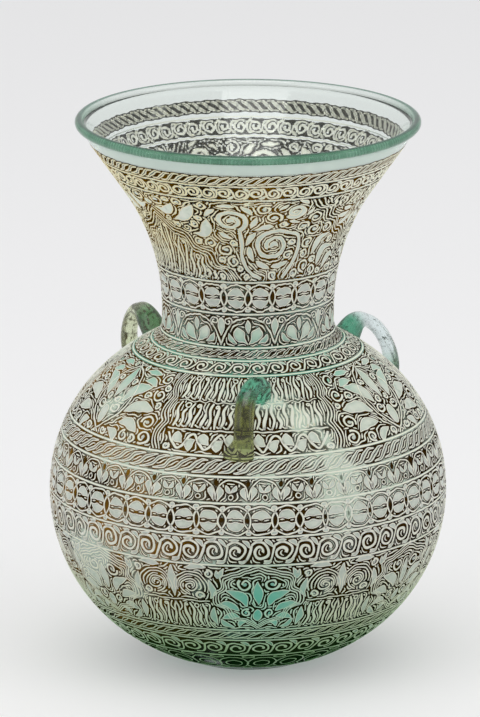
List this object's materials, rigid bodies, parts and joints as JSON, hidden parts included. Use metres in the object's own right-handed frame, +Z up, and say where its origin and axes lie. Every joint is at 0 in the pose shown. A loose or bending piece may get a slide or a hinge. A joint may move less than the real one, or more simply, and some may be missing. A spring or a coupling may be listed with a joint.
{
  "type": "mosque lamp",
  "caption": "Blown glass mosque lamp: round globe, flared neck, loop handles for hanging, and a lift-out oil cup with wick holder.",
  "frame": {"origin": "on the lamp's axis, in the plane that the base ring stands on", "axes": "+Z up along the axis, -Y towards the front handle, +X to the right of it"},
  "size_m": [0.2, 0.2, 0.2776],
  "materials": {
    "lamp_glass": "pale green blown glass under brown gilded ornament",
    "lip_glass": "fire-rounded teal glass",
    "handle_glass": "trailed green glass with brown streaks",
    "cup_glass": "thin clear greenish glass",
    "copper_alloy": "hammered and darkened",
    "wick_cotton": "twisted cotton"
  },
  "bodies": {
    "lamp": {"globe_belly": "lamp_glass", "globe_shoulder": "lamp_glass", "neck": "lamp_glass", "rim_lip": "lip_glass", "handle_front": "handle_glass", "handle_right": "handle_glass", "handle_left": "handle_glass"},
    "oil_cup": {"oil_cup": "cup_glass"},
    "wick_holder": {"wick_strip": "copper_alloy", "wick_tube": "copper_alloy"},
    "wick": {"wick": "wick_cotton"}
  },
  "joints": [
    {"name": "oil_cup_lift", "type": "slide", "parent": "lamp", "child": "oil_cup", "axis": [0, 0, 1], "range_m": [0, 0.275]},
    {"name": "wick_holder_lift", "type": "slide", "parent": "oil_cup", "child": "wick_holder", "axis": [0, 0, 1], "range_m": [0, 0.05]},
    {"name": "wick_feed", "type": "slide", "parent": "wick_holder", "child": "wick", "axis": [0, 0, 1], "range_m": [0, 0.012]}
  ]
}
